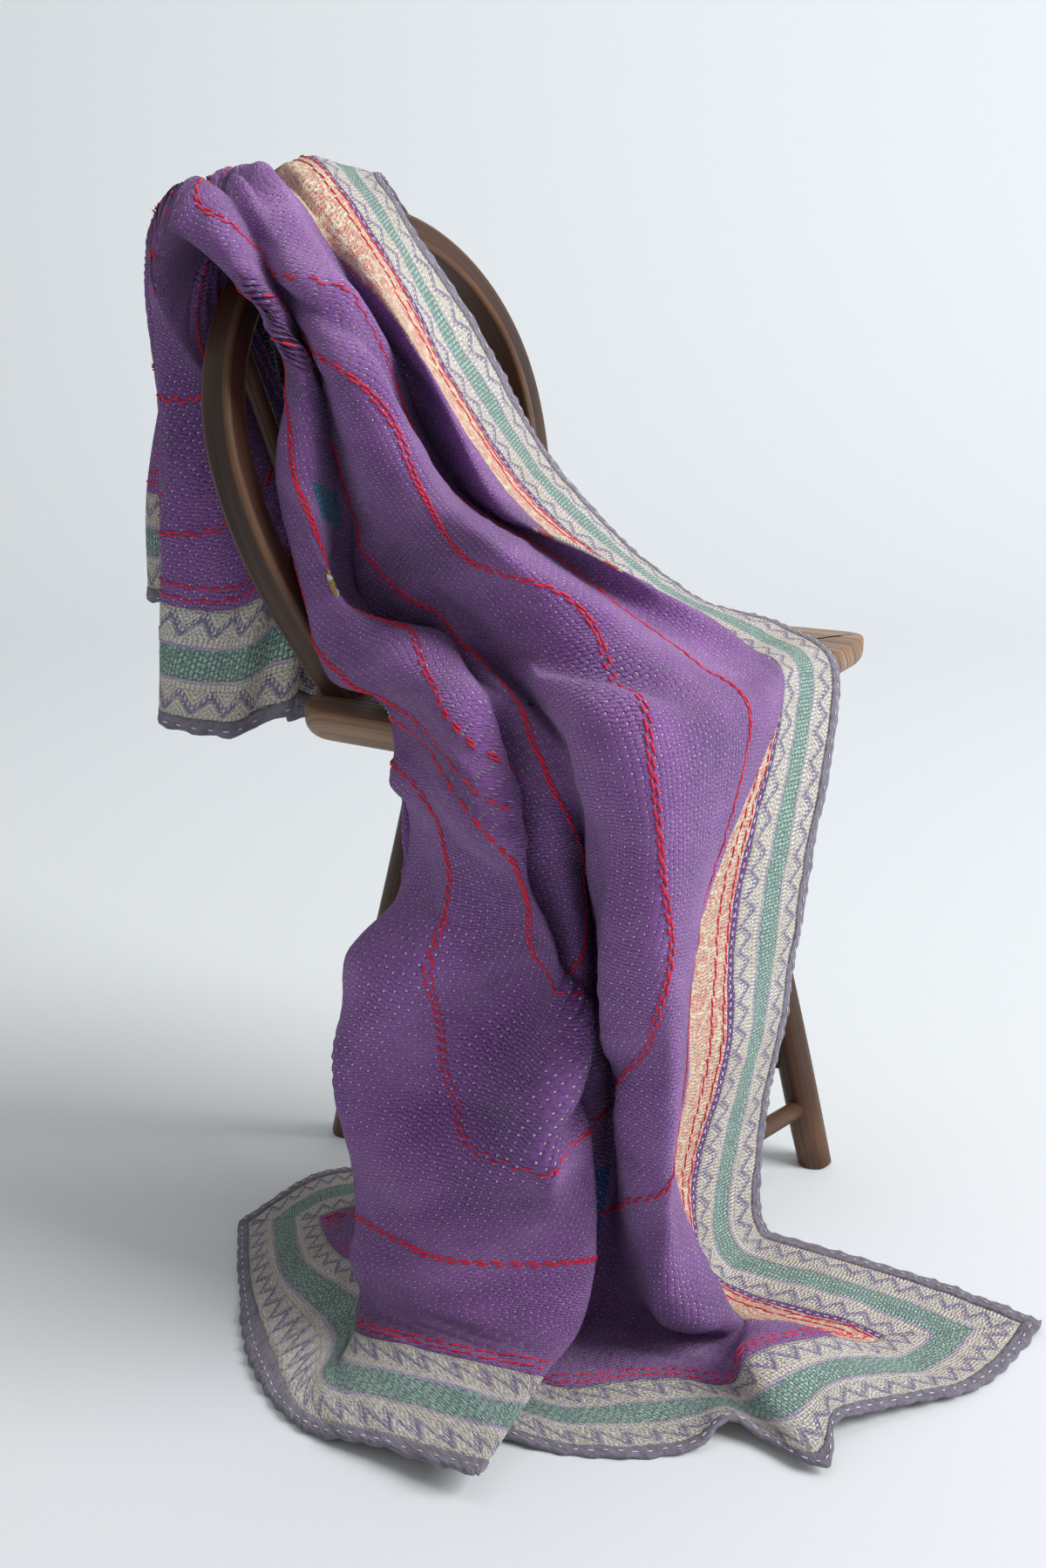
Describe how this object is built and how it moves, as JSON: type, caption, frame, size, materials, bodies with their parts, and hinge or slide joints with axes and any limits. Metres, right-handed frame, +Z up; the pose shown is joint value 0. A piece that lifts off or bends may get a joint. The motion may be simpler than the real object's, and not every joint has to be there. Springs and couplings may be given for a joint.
{
  "type": "kantha quilt draped over a bow-back wooden chair",
  "caption": "Patched and running-stitched kantha quilt with woven borders, draped over the back and seat of a plain bow-back stick chair and spilling onto the floor.",
  "frame": {"origin": "middle of the footprint, on the floor", "axes": "+Z up; -Y is the side from which the quilt's hanging front is seen, with the chair's back to the left; the seat's front points between +X and -Y"},
  "size_m": [0.662, 0.6263, 0.7847],
  "materials": {
    "purple_cotton": "matt, puckered by rows of running stitch",
    "coral_print": "matt printed cotton",
    "cream_border": "matt woven cotton",
    "slate_binding": "matt cotton",
    "worn_wood": "worn, dull polish",
    "dark_wood": "dark stain, dull polish"
  },
  "bodies": {
    "root": {"quilt_field": "purple_cotton", "quilt_coral_strip": "coral_print", "quilt_border_left": "cream_border", "quilt_border_right": "cream_border", "quilt_border_front": "cream_border", "quilt_border_back": "cream_border", "quilt_binding": "slate_binding", "seat": "worn_wood", "hoop": "dark_wood", "stick_near": "dark_wood", "stick_middle": "dark_wood", "stick_far": "dark_wood", "leg_front_far": "dark_wood", "leg_front_near": "dark_wood", "leg_rear": "dark_wood", "stretcher_front": "dark_wood", "stretcher_far": "dark_wood", "stretcher_near": "dark_wood"}
  },
  "joints": []
}
